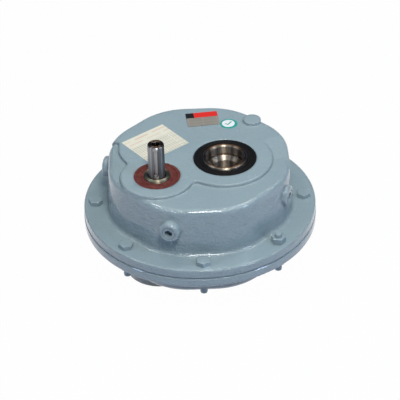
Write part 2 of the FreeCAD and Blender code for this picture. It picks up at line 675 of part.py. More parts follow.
# Input shaft: shaft end with keyway and centre hole, bearing seats, pinion in one piece
input_outline = shaft_foot(INPUT_SEAT_R, INPUT_LOWER_Z, INPUT_SHOULDER_Z) + [
    (INPUT_BODY_R, INPUT_SHOULDER_Z), (INPUT_BODY_R, INPUT_BEARING_Z - INPUT_COLLAR_T),
    (INPUT_COLLAR_R, INPUT_BEARING_Z - INPUT_COLLAR_T), (INPUT_COLLAR_R, INPUT_BEARING_Z),
    (INPUT_SEAT_R, INPUT_BEARING_Z), (INPUT_SEAT_R, UNDERCUT_Z), (UNDERCUT_R, UNDERCUT_Z),
    (UNDERCUT_R, SLEEVE_TOP_Z), (SHAFT_END_R, SLEEVE_TOP_Z), (SHAFT_END_R, SHAFT_END_Z - EDGE_CHAMFER),
    (SHAFT_END_R - EDGE_CHAMFER, SHAFT_END_Z), (0, SHAFT_END_Z),
]
first_turn = INPUT_ANGLE + 180 + 180 / FIRST_PINION_TEETH
input_pinion = helical_gear(
    FIRST_PINION_TEETH, FIRST_MODULE, FIRST_HELIX, -1, FIRST_SHIFT,
    FIRST_MID_Z, FIRST_PINION_FACE, first_turn, 5,
)
shaft_key = key_slot(INPUT_KEY_W, SHAFT_END_R - INPUT_KEY_DEPTH, INPUT_BODY_R, INPUT_KEY_Z0, INPUT_KEY_Z1)
hole_point = (0, CENTRE_HOLE_Z - CENTRE_HOLE_R / 2)
hole_sides = [(CENTRE_HOLE_R, CENTRE_HOLE_Z), (CENTRE_HOLE_R, CENTRE_SINK_Z)]
hole_mouth = [(CENTRE_SINK_R, SHAFT_END_Z + 1), (0, SHAFT_END_Z + 1)]
centre_hole = revolved([hole_point] + hole_sides + hole_mouth)
shaft_blank = turned(revolved(input_outline).cut([shaft_key, centre_hole]), INPUT_KEY_TURN)
nodes["input_shaft"] = turned(shaft_blank.fuse(input_pinion), 0, *INPUT_AXIS)

sleeve_bore_r = INPUT_SEAT_R + FIT_GAP
sleeve_outline = [
    (sleeve_bore_r, INPUT_CLIP_Z), (SLEEVE_R, INPUT_CLIP_Z), (SLEEVE_R, SLEEVE_TOP_Z - SLEEVE_EDGE),
    (SLEEVE_R - SLEEVE_EDGE, SLEEVE_TOP_Z), (sleeve_bore_r + SLEEVE_EDGE, SLEEVE_TOP_Z),
    (sleeve_bore_r, SLEEVE_TOP_Z - SLEEVE_EDGE),
]
nodes["input_seal_sleeve"] = revolved(sleeve_outline, *INPUT_AXIS)

# Circlip above the input bearing
clip_z0 = INPUT_CLIP_Z + RUN_GAP
clip_z1 = clip_z0 + CLIP_T
eye_places = [polar(CLIP_EYE_CIRCLE_R, side * CLIP_EYE_ANGLE) for side in (-1, 1)]
clip = ring(CLIP_OUTER_R, CLIP_INNER_R, clip_z0, clip_z1)
clip = clip.fuse([cylinder(CLIP_EYE_R, clip_z0, clip_z1, x, y) for x, y in eye_places])
clip_cuts = [keyway(CLIP_OPENING, 2 * CLIP_OUTER_R, clip_z0 - 1, clip_z1 + 1)]
clip_cuts += [cylinder(CLIP_EYE_HOLE_R, clip_z0 - 1, clip_z1 + 1, x, y) for x, y in eye_places]
nodes["bearing_circlip"] = turned(clip.cut(clip_cuts).removeSplitter(), 90, *INPUT_AXIS)

# Intermediate shaft with its pinion in one piece, gear, key and spacer
middle_outline = shaft_foot(SMALL_SEAT_R, SMALL_LOWER_Z, MIDDLE_SHOULDER_Z) + [
    (MIDDLE_BODY_R, MIDDLE_SHOULDER_Z), (MIDDLE_BODY_R, GEAR_SEAT_Z0), (GEAR_SEAT_R, GEAR_SEAT_Z0),
    (GEAR_SEAT_R, GEAR_SEAT_Z1), (SMALL_SEAT_R, GEAR_SEAT_Z1), (SMALL_SEAT_R, MIDDLE_TOP_Z - EDGE_CHAMFER),
    (SMALL_SEAT_R - EDGE_CHAMFER, MIDDLE_TOP_Z), (0, MIDDLE_TOP_Z),
]
second_turn = MIDDLE_ANGLE + 180 + 180 / SECOND_PINION_TEETH
middle_pinion = helical_gear(
    SECOND_PINION_TEETH, SECOND_MODULE, SECOND_HELIX, 1, SECOND_SHIFT,
    SECOND_MID_Z, SECOND_PINION_FACE, second_turn, 5,
)
middle_slot = key_slot(MIDDLE_KEY_W, MIDDLE_KEY_FLOOR_R, 2 * GEAR_SEAT_R, MIDDLE_KEY_Z0, MIDDLE_KEY_Z1)
middle_shaft = revolved(middle_outline).fuse(middle_pinion).cut(turned(middle_slot, MIDDLE_ANGLE))
nodes["intermediate_shaft"] = turned(middle_shaft, 0, *MIDDLE_AXIS)

first_gear = helical_gear(
    FIRST_GEAR_TEETH, FIRST_MODULE, FIRST_HELIX, 1, -FIRST_SHIFT,
    FIRST_MID_Z, FIRST_GEAR_FACE, INPUT_ANGLE, 3,
)
first_keyway = keyway(
    MIDDLE_KEY_W + 2 * FIT_GAP, MIDDLE_KEY_TOP_R + BLIND_END_GAP, GEAR_SEAT_Z0, GEAR_SEAT_Z1 + 1,
)
first_gear_cuts = web_hollows(FIRST_RIM_R, FIRST_BOSS_R, FIRST_MID_Z, FIRST_WEB_T)
first_gear_cuts += [
    cylinder(GEAR_SEAT_R + FIT_GAP, GEAR_SEAT_Z0, GEAR_SEAT_Z1 + 1),
    turned(first_keyway, MIDDLE_ANGLE),
]
nodes["intermediate_gear"] = turned(first_gear.cut(first_gear_cuts), 0, *MIDDLE_AXIS)
middle_key = key_slot(
    MIDDLE_KEY_W - 2 * FIT_GAP, MIDDLE_KEY_FLOOR_R + FIT_GAP, MIDDLE_KEY_TOP_R,
    MIDDLE_KEY_Z0 + FIT_GAP, MIDDLE_KEY_Z1 - FIT_GAP,
)
nodes["intermediate_key"] = turned(middle_key, MIDDLE_ANGLE, *MIDDLE_AXIS)
spacer_bore_r = SMALL_SEAT_R + FIT_GAP
nodes["intermediate_spacer"] = ring(SPACER_R, spacer_bore_r, GEAR_SEAT_Z1, SMALL_UPPER_Z, *MIDDLE_AXIS)

# Output hub: hollow shaft, counterbored at both ends with a clip groove and a conical step to the keyed bore
def hub_mouth(end_z, inward):
    step = HUB_COUNTERBORE_R - HUB_BORE_R
    depths = [
        (HUB_BORE_R, HUB_COUNTERBORE_DEPTH + step), (HUB_COUNTERBORE_R, HUB_COUNTERBORE_DEPTH),
        (HUB_COUNTERBORE_R, HUB_GROOVE_DEPTH + HUB_GROOVE_W), (HUB_GROOVE_R, HUB_GROOVE_DEPTH + HUB_GROOVE_W),
        (HUB_GROOVE_R, HUB_GROOVE_DEPTH), (HUB_COUNTERBORE_R, HUB_GROOVE_DEPTH),
        (HUB_COUNTERBORE_R, HUB_MOUTH_CHAMFER), (HUB_COUNTERBORE_R + HUB_MOUTH_CHAMFER, 0),
    ]
    return [(r, end_z + inward * depth) for r, depth in depths]


hub_outline = hub_mouth(HUB_BOTTOM_Z, 1) + [
    (HUB_R - EDGE_CHAMFER, HUB_BOTTOM_Z), (HUB_R, HUB_BOTTOM_Z + EDGE_CHAMFER), (HUB_R, HUB_SHOULDER_Z),
    (HUB_SEAT_R, HUB_SHOULDER_Z), (HUB_SEAT_R, HUB_COLLAR_Z0), (HUB_COLLAR_R, HUB_COLLAR_Z0),
    (HUB_COLLAR_R, HUB_COLLAR_Z1), (HUB_SEAT_R, HUB_COLLAR_Z1), (HUB_SEAT_R, OUTPUT_UPPER_Z),
    (HUB_R, OUTPUT_UPPER_Z), (HUB_R, HUB_TOP_Z - EDGE_CHAMFER), (HUB_R - EDGE_CHAMFER, HUB_TOP_Z),
] + hub_mouth(HUB_TOP_Z, -1)[::-1]
hub_keyway = keyway(HUB_KEY_W, HUB_BORE_R + HUB_KEY_DEPTH, HUB_BOTTOM_Z - 1, HUB_TOP_Z + 1)
hub_slot = key_slot(OUTPUT_KEY_W, OUTPUT_KEY_FLOOR_R, HUB_COLLAR_R, -OUTPUT_KEY_HALF, OUTPUT_KEY_HALF)
nodes["output_hub"] = revolved(hub_outline).cut([turned(hub_keyway, -90), turned(hub_slot, 90)])

second_gear = helical_gear(
    SECOND_GEAR_TEETH, SECOND_MODULE, SECOND_HELIX, -1, -SECOND_SHIFT,
    SECOND_MID_Z, SECOND_GEAR_FACE, MIDDLE_ANGLE, 3,
)
gear_bosses = [
    cylinder(SECOND_BOSS_R, GEAR_FOOT_Z + GEAR_BOSS_STEP, HUB_COLLAR_Z0),
    cylinder(GEAR_BOSS_R, GEAR_FOOT_Z, SECOND_MID_Z),
]
second_gear = second_gear.fuse(gear_bosses)
output_keyway = keyway(
    OUTPUT_KEY_W + 2 * FIT_GAP, OUTPUT_KEY_TOP_R + BLIND_END_GAP, GEAR_FOOT_Z - 1, HUB_COLLAR_Z0 + 1,
)
second_gear_cuts = web_hollows(SECOND_RIM_R, SECOND_BOSS_R, SECOND_MID_Z, SECOND_WEB_T)
second_gear_cuts += [
    cylinder(HUB_SEAT_R + FIT_GAP, GEAR_FOOT_Z - 1, HUB_COLLAR_Z0 + 1),
    turned(output_keyway, 90),
]
for k in range(SECOND_HOLES):
    x, y = polar(SECOND_HOLE_CIRCLE_R, 360 * k / SECOND_HOLES)
    second_gear_cuts.append(cylinder(SECOND_HOLE_R, -SECOND_WEB_T, SECOND_WEB_T, x, y))
nodes["output_gear"] = second_gear.cut(second_gear_cuts)
output_key = key_slot(
    OUTPUT_KEY_W - 2 * FIT_GAP, OUTPUT_KEY_FLOOR_R + FIT_GAP, OUTPUT_KEY_TOP_R,
    -OUTPUT_KEY_HALF + FIT_GAP, OUTPUT_KEY_HALF - FIT_GAP,
)
nodes["output_key"] = turned(output_key, 90)
nodes["output_spacer"] = ring(GEAR_BOSS_R, HUB_SEAT_R + FIT_GAP, HUB_SHOULDER_Z, GEAR_FOOT_Z)


# Deep groove ball bearings
def bearing(name, size, z0, axis):
    x, y = axis
    z = z0 + size.width / 2
    pitch_r = (size.bore_r + size.outer_r) / 2
    land = LAND_SHARE * size.ball_d
    cage_half_t = CAGE_SHARE * size.ball_d
    cage_half_h = CAGE_HEIGHT_SHARE * size.ball_d
    race = Part.makeTorus(pitch_r, RACE_CONFORMITY * size.ball_d, V(x, y, z))
    outer = ring(size.outer_r - FIT_GAP, pitch_r + land, z0, z0 + size.width, x, y)
    inner = ring(pitch_r - land, size.bore_r + FIT_GAP, z0, z0 + size.width, x, y)
    cage = ring(pitch_r + cage_half_t, pitch_r - cage_half_t, z - cage_half_h, z + cage_half_h, x, y)
    pockets = []
    balls = []
    for k in range(size.balls):
        degrees = 360 * k / size.balls
        pocket_r = size.ball_d / 2 + POCKET_GAP
        pockets.append(Part.makeCylinder(pocket_r, size.outer_r, V(x, y, z), V(*polar(1, degrees), 0)))
        balls.append(Part.makeSphere(size.ball_d / 2, V(*polar(pitch_r, degrees, x, y), z)))
    nodes[name + "_outer_ring"] = outer.cut(race)
    nodes[name + "_inner_ring"] = inner.cut(race)
    nodes[name + "_cage"] = cage.cut(pockets)
    nodes[name + "_balls"] = Part.makeCompound(balls)


bearing("input_upper_bearing", INPUT_BEARING, INPUT_BEARING_Z, INPUT_AXIS)
bearing("input_lower_bearing", INPUT_BEARING, INPUT_LOWER_Z, INPUT_AXIS)
bearing("middle_upper_bearing", SMALL_BEARING, SMALL_UPPER_Z, MIDDLE_AXIS)
bearing("middle_lower_bearing", SMALL_BEARING, SMALL_LOWER_Z, MIDDLE_AXIS)
bearing("output_upper_bearing", OUTPUT_BEARING, OUTPUT_UPPER_Z, OUTPUT_AXIS)
bearing("output_lower_bearing", OUTPUT_BEARING, OUTPUT_LOWER_Z, OUTPUT_AXIS)


# Oil seals: cased ring with a grooved face outside, a sprung lip on the shaft inside
def oil_seal(outer_r, shaft_r, face_z, inward, axis):
    lip_r = shaft_r + RUN_GAP
    rim_r = outer_r - FIT_GAP
    section = [
        (rim_r, 0), (rim_r, SEAL_WIDTH), (outer_r - 2.5, SEAL_WIDTH), (outer_r - 2.5, 3),
        (lip_r + 5, 3), (lip_r + 3.6, 8.6), (lip_r + 1.2, 8.6), (lip_r + 1.2, 7.8), (lip_r, 7),
        (lip_r + 1.2, 5.4), (lip_r + 1.2, 1.6), (lip_r + 0.2, 0.4), (lip_r + 1.2, 0),
        (lip_r + 3.5, 0), (lip_r + 4, 0.7), (outer_r - 4.5, 0.7), (outer_r - 4, 0),
    ]
    return revolved([(r, face_z + inward * depth) for r, depth in section], *axis)


def garter_spring(shaft_r, face_z, inward, axis):
    return Part.makeTorus(shaft_r + RUN_GAP + 4.8, 0.7, V(*axis, face_z + inward * 7))


nodes["input_oil_seal"] = oil_seal(INPUT_SEAL_R, SLEEVE_R, SEAL_TOP_Z, -1, INPUT_AXIS)
nodes["output_upper_seal"] = oil_seal(OUTPUT_SEAL_R, HUB_R, SEAL_TOP_Z, -1, OUTPUT_AXIS)
nodes["output_lower_seal"] = oil_seal(OUTPUT_SEAL_R, HUB_R, SEAL_BOTTOM_Z, 1, OUTPUT_AXIS)
nodes["input_seal_spring"] = garter_spring(SLEEVE_R, SEAL_TOP_Z, -1, INPUT_AXIS)
nodes["output_upper_seal_spring"] = garter_spring(HUB_R, SEAL_TOP_Z, -1, OUTPUT_AXIS)
nodes["output_lower_seal_spring"] = garter_spring(HUB_R, SEAL_BOTTOM_Z, 1, OUTPUT_AXIS)

for name, shape in nodes.items():
    shape.exportStep("parts/" + name + ".step")
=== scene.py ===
import bpy
import math
from mathutils import Matrix, Vector


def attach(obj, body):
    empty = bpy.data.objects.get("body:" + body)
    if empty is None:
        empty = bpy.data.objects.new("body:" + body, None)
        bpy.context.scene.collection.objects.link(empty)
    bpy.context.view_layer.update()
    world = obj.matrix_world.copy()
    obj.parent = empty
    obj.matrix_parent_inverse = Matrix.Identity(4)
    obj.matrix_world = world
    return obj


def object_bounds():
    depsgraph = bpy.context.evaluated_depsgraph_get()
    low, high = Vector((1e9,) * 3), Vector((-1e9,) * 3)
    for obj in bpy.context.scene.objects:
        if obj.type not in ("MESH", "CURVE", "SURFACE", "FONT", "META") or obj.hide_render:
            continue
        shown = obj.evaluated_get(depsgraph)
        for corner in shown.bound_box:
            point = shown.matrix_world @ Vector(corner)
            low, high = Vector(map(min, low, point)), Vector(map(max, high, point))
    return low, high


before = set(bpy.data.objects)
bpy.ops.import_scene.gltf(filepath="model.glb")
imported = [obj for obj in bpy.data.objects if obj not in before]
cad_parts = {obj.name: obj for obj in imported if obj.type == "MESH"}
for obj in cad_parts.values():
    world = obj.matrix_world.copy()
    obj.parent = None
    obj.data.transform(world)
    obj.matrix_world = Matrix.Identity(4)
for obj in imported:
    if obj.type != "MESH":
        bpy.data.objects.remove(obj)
cad_low, cad_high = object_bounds()
bpy.ops.object.select_all(action="DESELECT")


# Lower casing: the shallow half of the gear case, sand cast in grey iron, machined on its flange and
# under its bearing bosses, and sprayed with grey-blue enamel together with the upper half.
MM = 0.001
TOP_Z = 85.0


def linear(colour):
    channels = [int(colour[i:i + 2], 16) / 255 for i in (1, 3, 5)]
    return [c / 12.92 if c <= 0.04045 else ((c + 0.055) / 1.055) ** 2.4 for c in channels] + [1.0]


def start(name, **values):
    material = bpy.data.materials.new(name)
    material.use_nodes = True
    shader = material.node_tree.nodes["Principled BSDF"]
    for socket, value in values.items():
        shader.inputs[socket.replace("_", " ")].default_value = value
    return material, shader


def add(material, kind, inputs, **settings):
    node = material.node_tree.nodes.new("ShaderNode" + kind)
    for name, value in settings.items():
        setattr(node, name, value)
    for socket, value in inputs.items():
        if isinstance(value, bpy.types.NodeSocket):
            material.node_tree.links.new(value, node.inputs[socket])
        else:
            node.inputs[socket].default_value = value
    return node


def wire(material, shader, sockets):
    for socket, output in sockets.items():
        material.node_tree.links.new(output, shader.inputs[socket])


def dress(material, *names):
    for name in names:
        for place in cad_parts[name].material_slots:
            place.material = material


# Alkyd enamel sprayed over iron: a glossy grey-blue film that keeps the lumps and the grain of the sand
# mould on the walls, lies smoother on level faces, is smoothest and least glossy on the machined pad, and
# darkens in deep corners, part dust laden with oil and part painted shade. Lumps and grain are drawn higher
# than real so that they show, and edges are shaded rounder than the mesh has them, as the mould and a thick
# film leave them.
def enamel(name, lump_mm, lump_height_mm, grain_mm, grain_height_mm, gloss, dust, soft_mm):
    material, shader = start(name, IOR=1.5, Coat_Roughness=0.07)
    texture = add(material, "TexCoord", {})
    place = texture.outputs["Object"]
    lumps = add(material, "TexNoise", {"Vector": place, "Scale": 1 / (lump_mm * MM), "Detail": 2.0})
    grain = add(material, "TexNoise", {"Vector": place, "Scale": 1 / (grain_mm * MM), "Detail": 3.0})
    cloud = add(material, "TexNoise", {"Vector": place, "Scale": 1 / (70 * MM), "Detail": 4.0})
    facing = add(material, "SeparateXYZ", {"Vector": texture.outputs["Normal"]})
    level = add(material, "Math", {0: facing.outputs["Z"]}, operation="ABSOLUTE")
    cast = add(material, "MapRange", {"Value": level.outputs[0], "From Min": 0.93, "From Max": 1.0,
                                      "To Min": 1.0, "To Max": 0.3})
    height = add(material, "SeparateXYZ", {"Vector": place})
    pad = {"Value": height.outputs["Z"], "From Min": (TOP_Z - 2.5) * MM, "From Max": (TOP_Z - 1.5) * MM}
    milled = add(material, "MapRange", {**pad, "To Min": 1.0, "To Max": 0.3})
    relief = add(material, "Math", {0: cast.outputs[0], 1: milled.outputs[0]}, operation="MULTIPLY")
    pores = add(material, "MapRange", {"Value": grain.outputs["Fac"], "From Min": 0.25, "From Max": 0.5,
                                       "To Min": 0.3, "To Max": 0.0})
    film = add(material, "MixRGB", {"Fac": cloud.outputs["Fac"], "Color1": linear("#899CA1"),
                                    "Color2": linear("#94A7AB")})
    worn = add(material, "MixRGB", {"Fac": pores.outputs[0], "Color1": film.outputs[0],
                                    "Color2": linear("#7A8C98")})
    # Deep corners, found by occlusion, are mixed towards near black: part dust laden with oil, part painted
    # shade.
    openness = add(material, "AmbientOcclusion", {"Distance": 7 * MM}, samples=8)
    corner = add(material, "MapRange", {"Value": openness.outputs["AO"], "From Min": 0.15, "From Max": 0.5,
                                        "To Min": dust, "To Max": 0.0})
    colour = add(material, "MixRGB", {"Fac": corner.outputs[0], "Color1": worn.outputs[0],
                                      "Color2": linear("#15171B")})
    sheen = add(material, "MapRange", {"Value": cloud.outputs["Fac"], "From Min": 0.3, "From Max": 0.7,
                                       "To Min": gloss - 0.03, "To Max": gloss + 0.04})
    matt = add(material, "MapRange", {**pad, "To Max": 0.1})
    rough = add(material, "Math", {0: sheen.outputs[0], 1: matt.outputs[0]}, operation="ADD")
    coat = add(material, "MapRange", {**pad, "To Min": 0.75, "To Max": 0.1})
    softened = add(material, "Bevel", {"Radius": soft_mm * MM}, samples=6)
    lumpy = add(material, "Bump", {"Height": lumps.outputs["Fac"], "Distance": lump_height_mm * MM,
                                   "Strength": relief.outputs[0], "Normal": softened.outputs[0]})
    grainy = add(material, "Bump", {"Height": grain.outputs["Fac"], "Distance": grain_height_mm * MM,
                                    "Strength": relief.outputs[0], "Normal": lumpy.outputs[0]})
    wire(material, shader, {"Base Color": colour.outputs[0], "Roughness": rough.outputs[0],
                            "Coat Weight": coat.outputs[0], "Normal": grainy.outputs[0]})
    return material


casting_enamel = enamel("enamel_on_cast_iron", 12, 1.7, 2.7, 1.4, 0.17, 0.35, 5.0)
dress(casting_enamel, "lower_casing")


# Ball bearings: hardened and polished steel rings and balls, kept apart by cages pressed from steel
# sheet. The outer rings sit in the casing and the inner rings turn with the shafts.
bearing_shafts = ["input", "middle", "output"]


# Bare steel that isn't turned in sight: a metal with faint oil smears that make it more and less glossy.
def smeared_steel(name, clean, oiled, smear_mm, low_rough, high_rough):
    material, shader = start(name, Metallic=1.0)
    place = add(material, "TexCoord", {}).outputs["Object"]
    smear = add(material, "TexNoise", {"Vector": place, "Scale": 1 / (smear_mm * MM), "Detail": 4.0})
    speck = add(material, "TexNoise", {"Vector": place, "Scale": 1 / (0.6 * MM), "Detail": 2.0})
    colour = add(material, "MixRGB", {"Fac": smear.outputs["Fac"], "Color1": linear(clean),
                                      "Color2": linear(oiled)})
    rough = add(material, "MapRange", {"Value": smear.outputs["Fac"], "From Min": 0.3, "From Max": 0.7,
                                       "To Min": low_rough, "To Max": high_rough})
    bump = add(material, "Bump", {"Height": speck.outputs["Fac"], "Distance": 0.01 * MM, "Strength": 0.4})
    wire(material, shader, {"Base Color": colour.outputs[0], "Roughness": rough.outputs[0],
                            "Normal": bump.outputs[0]})
    return material


polished_steel = smeared_steel("polished_bearing_steel", "#C9CBCD", "#B2B2AE", 12, 0.10, 0.22)
pressed_sheet = smeared_steel("pressed_sheet_steel", "#A6A39B", "#8D8980", 6, 0.32, 0.46)
for shaft in bearing_shafts:
    for end in ("upper", "lower"):
        bearing = f"{shaft}_{end}_bearing"
        dress(polished_steel, f"{bearing}_outer_ring", f"{bearing}_inner_ring", f"{bearing}_balls")
        dress(pressed_sheet, f"{bearing}_cage")


# Output hub: the hollow shaft that takes the driven machine's shaft, turned from carbon steel, with the
# large gear keyed to its middle and a distance ring between the gear and the lower bearing.
STREAK_LEAN = 0.5


# Turned steel: fine rings round the axis, drawn coarser than real so that they show. Across the rings a
# highlight is drawn out into a long streak. Round the axis the colour runs in light and dark bands, part oil
# rubbed off in bands and part painted reflection streaks. Level faces take a tone of their own, brown on hub
# and shaft, part oil lying there and part painted reflection, and a centre hole in a shaft end is painted
# near black as painted shade.
def turned_steel(name, bright, wiped_and_reflection_dark, oil_and_reflection_tone, axis_x, axis_y, ring_mm, hole_mm, low_rough, high_rough):
    material, shader = start(name, Metallic=1.0, Anisotropic=0.95)
    texture = add(material, "TexCoord", {})
    place = texture.outputs["Object"]
    centred = add(material, "Mapping", {"Vector": place, "Location": (-axis_x * MM, -axis_y * MM, 0)})
    parts = add(material, "SeparateXYZ", {"Vector": centred.outputs[0]})
    across = add(material, "CombineXYZ", {"X": parts.outputs["X"], "Y": parts.outputs["Y"]})
    radius = add(material, "VectorMath", {0: across.outputs[0]}, operation="LENGTH")
    outward = add(material, "VectorMath", {0: across.outputs[0]}, operation="NORMALIZE")
    leaning = add(material, "VectorMath", {0: outward.outputs[0], 1: (0, 0, STREAK_LEAN)}, operation="ADD")
    streak = add(material, "VectorTransform", {"Vector": leaning.outputs[0]}, vector_type="VECTOR",
                 convert_from="OBJECT", convert_to="WORLD")
    travel = add(material, "Math", {0: radius.outputs["Value"], 1: parts.outputs["Z"]}, operation="ADD")
    rings = add(material, "TexNoise", {"W": travel.outputs[0], "Scale": 1 / (ring_mm * MM), "Detail": 3.0},
                noise_dimensions="1D")
    # Light and dark bands round the axis: part oil rubbed off, part painted reflection streaks.
    wipe_and_streak_noise = add(material, "TexNoise", {"Vector": outward.outputs[0], "Scale": 2.6, "Detail": 3.0})
    wiped_and_painted_streaks = add(material, "MapRange", {"Value": wipe_and_streak_noise.outputs["Fac"], "From Min": 0.42, "From Max": 0.62})
    wall = add(material, "MixRGB", {"Fac": wiped_and_painted_streaks.outputs[0], "Color1": linear(bright),
                                    "Color2": linear(wiped_and_reflection_dark)})
    upright = add(material, "SeparateXYZ", {"Vector": texture.outputs["Normal"]})
    level = add(material, "Math", {0: upright.outputs["Z"]}, operation="ABSOLUTE")
    # Level faces take their own tone: part oil lying on them, part painted reflection.
    level_oil_and_reflection = add(material, "MapRange", {"Value": level.outputs[0], "From Min": 0.8, "From Max": 1.0,
                                        "To Max": 0.9})
    film = add(material, "MixRGB", {"Fac": level_oil_and_reflection.outputs[0], "Color1": wall.outputs[0],
                                    "Color2": linear(oil_and_reflection_tone)})
    # Inside the centre hole the steel is painted near black: painted shade.
    painted_hole_shade = add(material, "MapRange", {"Value": radius.outputs["Value"], "From Min": (hole_mm - 0.2) * MM,
                                       "From Max": (hole_mm + 0.2) * MM, "To Min": 1.0, "To Max": 0.0})
    colour = add(material, "MixRGB", {"Fac": painted_hole_shade.outputs[0], "Color1": film.outputs[0],
                                      "Color2": linear("#1C1814")})
    rough = add(material, "MapRange", {"Value": rings.outputs["Fac"], "From Min": 0.3, "From Max": 0.7,
                                       "To Min": low_rough, "To Max": high_rough})
    bump = add(material, "Bump", {"Height": rings.outputs["Fac"], "Distance": 0.004 * MM, "Strength": 1.0})
    wire(material, shader, {"Base Color": colour.outputs[0], "Roughness": rough.outputs[0],
                            "Normal": bump.outputs[0], "Tangent": streak.outputs[0]})
    return material


hub_steel = turned_steel("turned_hub_steel", "#BDB4A6", "#7D7163", "#7C5A39", 0, 0, 0.5, 0, 0.36, 0.48)
gear_steel = smeared_steel("case_hardened_gear_steel", "#8F8C86", "#6C6862", 9, 0.22, 0.38)
key_steel = smeared_steel("bright_drawn_key_steel", "#A9A8A4", "#918C84", 8, 0.2, 0.34)
dress(hub_steel, "output_hub")
dress(gear_steel, "output_gear")
dress(key_steel, "output_key", "output_spacer")


# Intermediate shaft: case hardened steel with the small pinion cut in one piece with it, its gear held
# by a key and a distance tube under the upper bearing.
dress(gear_steel, "intermediate_shaft", "intermediate_gear")
dress(key_steel, "intermediate_key", "intermediate_spacer")


# Input shaft: the driving shaft, ground to size for a keyed pulley at its upper end and with the first
# pinion cut on it. The sleeve pushed over it is the running surface of the oil seal.
INPUT_X = -91.3
INPUT_Y = -36.2
shaft_steel = turned_steel("ground_shaft_steel", "#B2B2B4", "#515154", "#6E5842", INPUT_X, INPUT_Y,
                           0.35, 5.2, 0.3, 0.4)
sleeve_steel = turned_steel("oiled_sleeve_steel", "#B4B09B", "#8F8B76", "#A39E88", INPUT_X, INPUT_Y,
                            0.4, 0, 0.5, 0.62)
dress(shaft_steel, "input_shaft")
dress(sleeve_steel, "input_seal_sleeve")


# Gasket and dowels: a sheet of pressed fibre between the two flanges, its rim caught by the enamel when the
# closed case was sprayed, and two ground pins that line the halves up before the bolts go in.
CASE_X = (cad_low.x + cad_high.x) / 2 / MM
CASE_Y = (cad_low.y + cad_high.y) / 2 / MM
SPRAYED_R = 151.0


# Pressed fibre: dull brown-black felted sheet, painted over where it shows at the rim.
def pressed_fibre(name):
    material, shader = start(name)
    place = add(material, "TexCoord", {}).outputs["Object"]
    fibres = add(material, "TexNoise", {"Vector": place, "Scale": 1 / (0.8 * MM), "Detail": 5.0})
    fibre = add(material, "MixRGB", {"Fac": fibres.outputs["Fac"], "Color1": linear("#2E2B28"),
                                     "Color2": linear("#4A453E")})
    centred = add(material, "Mapping", {"Vector": place, "Location": (-CASE_X * MM, -CASE_Y * MM, 0),
                                        "Scale": (1, 1, 0)})
    radius = add(material, "VectorMath", {0: centred.outputs[0]}, operation="LENGTH")
    rim = add(material, "MapRange", {"Value": radius.outputs["Value"], "From Min": (SPRAYED_R - 1) * MM,
                                     "From Max": (SPRAYED_R + 1) * MM})
    colour = add(material, "MixRGB", {"Fac": rim.outputs[0], "Color1": fibre.outputs[0],
                                      "Color2": linear("#76898F")})
    bump = add(material, "Bump", {"Height": fibres.outputs["Fac"], "Distance": 0.05 * MM, "Strength": 0.6})
    rough = add(material, "MapRange", {"Value": rim.outputs[0], "To Min": 0.8, "To Max": 0.35})
    wire(material, shader, {"Base Color": colour.outputs[0], "Roughness": rough.outputs[0],
                            "Normal": bump.outputs[0]})
    return material


dress(pressed_fibre("pressed_gasket_fibre"), "casing_gasket")
dress(key_steel, "dowel_pins")


# Upper casing: the deep half of the gear case, the same sand cast iron and enamel, with a machined pad
# round the two shaft openings and threaded bosses for the oil plugs on its wall.
dress(casting_enamel, "upper_casing")


# Circlip and garter springs: blued spring steel, the clip in its groove above the input bearing and
# each spring round the lip of its oil seal.
blued_steel = smeared_steel("blued_spring_steel", "#50545E", "#3A3734", 5, 0.25, 0.4)
dress(blued_steel, "bearing_circlip", "input_seal_spring", "output_upper_seal_spring",
      "output_lower_seal_spring")


# Oil seals: moulded nitrile rubber rings pressed into the casing, red-brown at the input and black round
# the hub. The mould leaves fine rings on their faces, and dust and oil dull them unevenly.
def moulded_rubber(name, clean, dusty, axis_x, axis_y, roughness):
    material, shader = start(name, IOR=1.52, Specular_IOR_Level=0.22)
    place = add(material, "TexCoord", {}).outputs["Object"]
    centred = add(material, "Mapping", {"Vector": place, "Location": (-axis_x * MM, -axis_y * MM, 0)})
    parts = add(material, "SeparateXYZ", {"Vector": centred.outputs[0]})
    across = add(material, "CombineXYZ", {"X": parts.outputs["X"], "Y": parts.outputs["Y"]})
    radius = add(material, "VectorMath", {0: across.outputs[0]}, operation="LENGTH")
    rings = add(material, "TexNoise", {"W": radius.outputs["Value"], "Scale": 1 / (1.1 * MM),
                                       "Detail": 2.0}, noise_dimensions="1D")
    dust = add(material, "TexNoise", {"Vector": place, "Scale": 1 / (7 * MM), "Detail": 6.0,
                                      "Roughness": 0.7})
    grain = add(material, "TexNoise", {"Vector": place, "Scale": 1 / (0.7 * MM), "Detail": 2.0})
    spread = add(material, "MapRange", {"Value": dust.outputs["Fac"], "From Min": 0.45, "From Max": 0.72})
    colour = add(material, "MixRGB", {"Fac": spread.outputs[0], "Color1": linear(clean),
                                      "Color2": linear(dusty)})
    rough = add(material, "MapRange", {"Value": dust.outputs["Fac"], "To Min": roughness - 0.12,
                                       "To Max": roughness + 0.14})
    ringed = add(material, "Bump", {"Height": rings.outputs["Fac"], "Distance": 0.3 * MM, "Strength": 0.8})
    grainy = add(material, "Bump", {"Height": grain.outputs["Fac"], "Distance": 0.03 * MM, "Strength": 0.6,
                                    "Normal": ringed.outputs[0]})
    wire(material, shader, {"Base Color": colour.outputs[0], "Roughness": rough.outputs[0],
                            "Normal": grainy.outputs[0]})
    return material


dress(moulded_rubber("red_nitrile_rubber", "#5C2A25", "#78433B", INPUT_X, INPUT_Y, 0.55), "input_oil_seal")
dress(moulded_rubber("black_nitrile_rubber", "#050404", "#0E0C0B", 0, 0, 0.5), "output_upper_seal",
      "output_lower_seal")


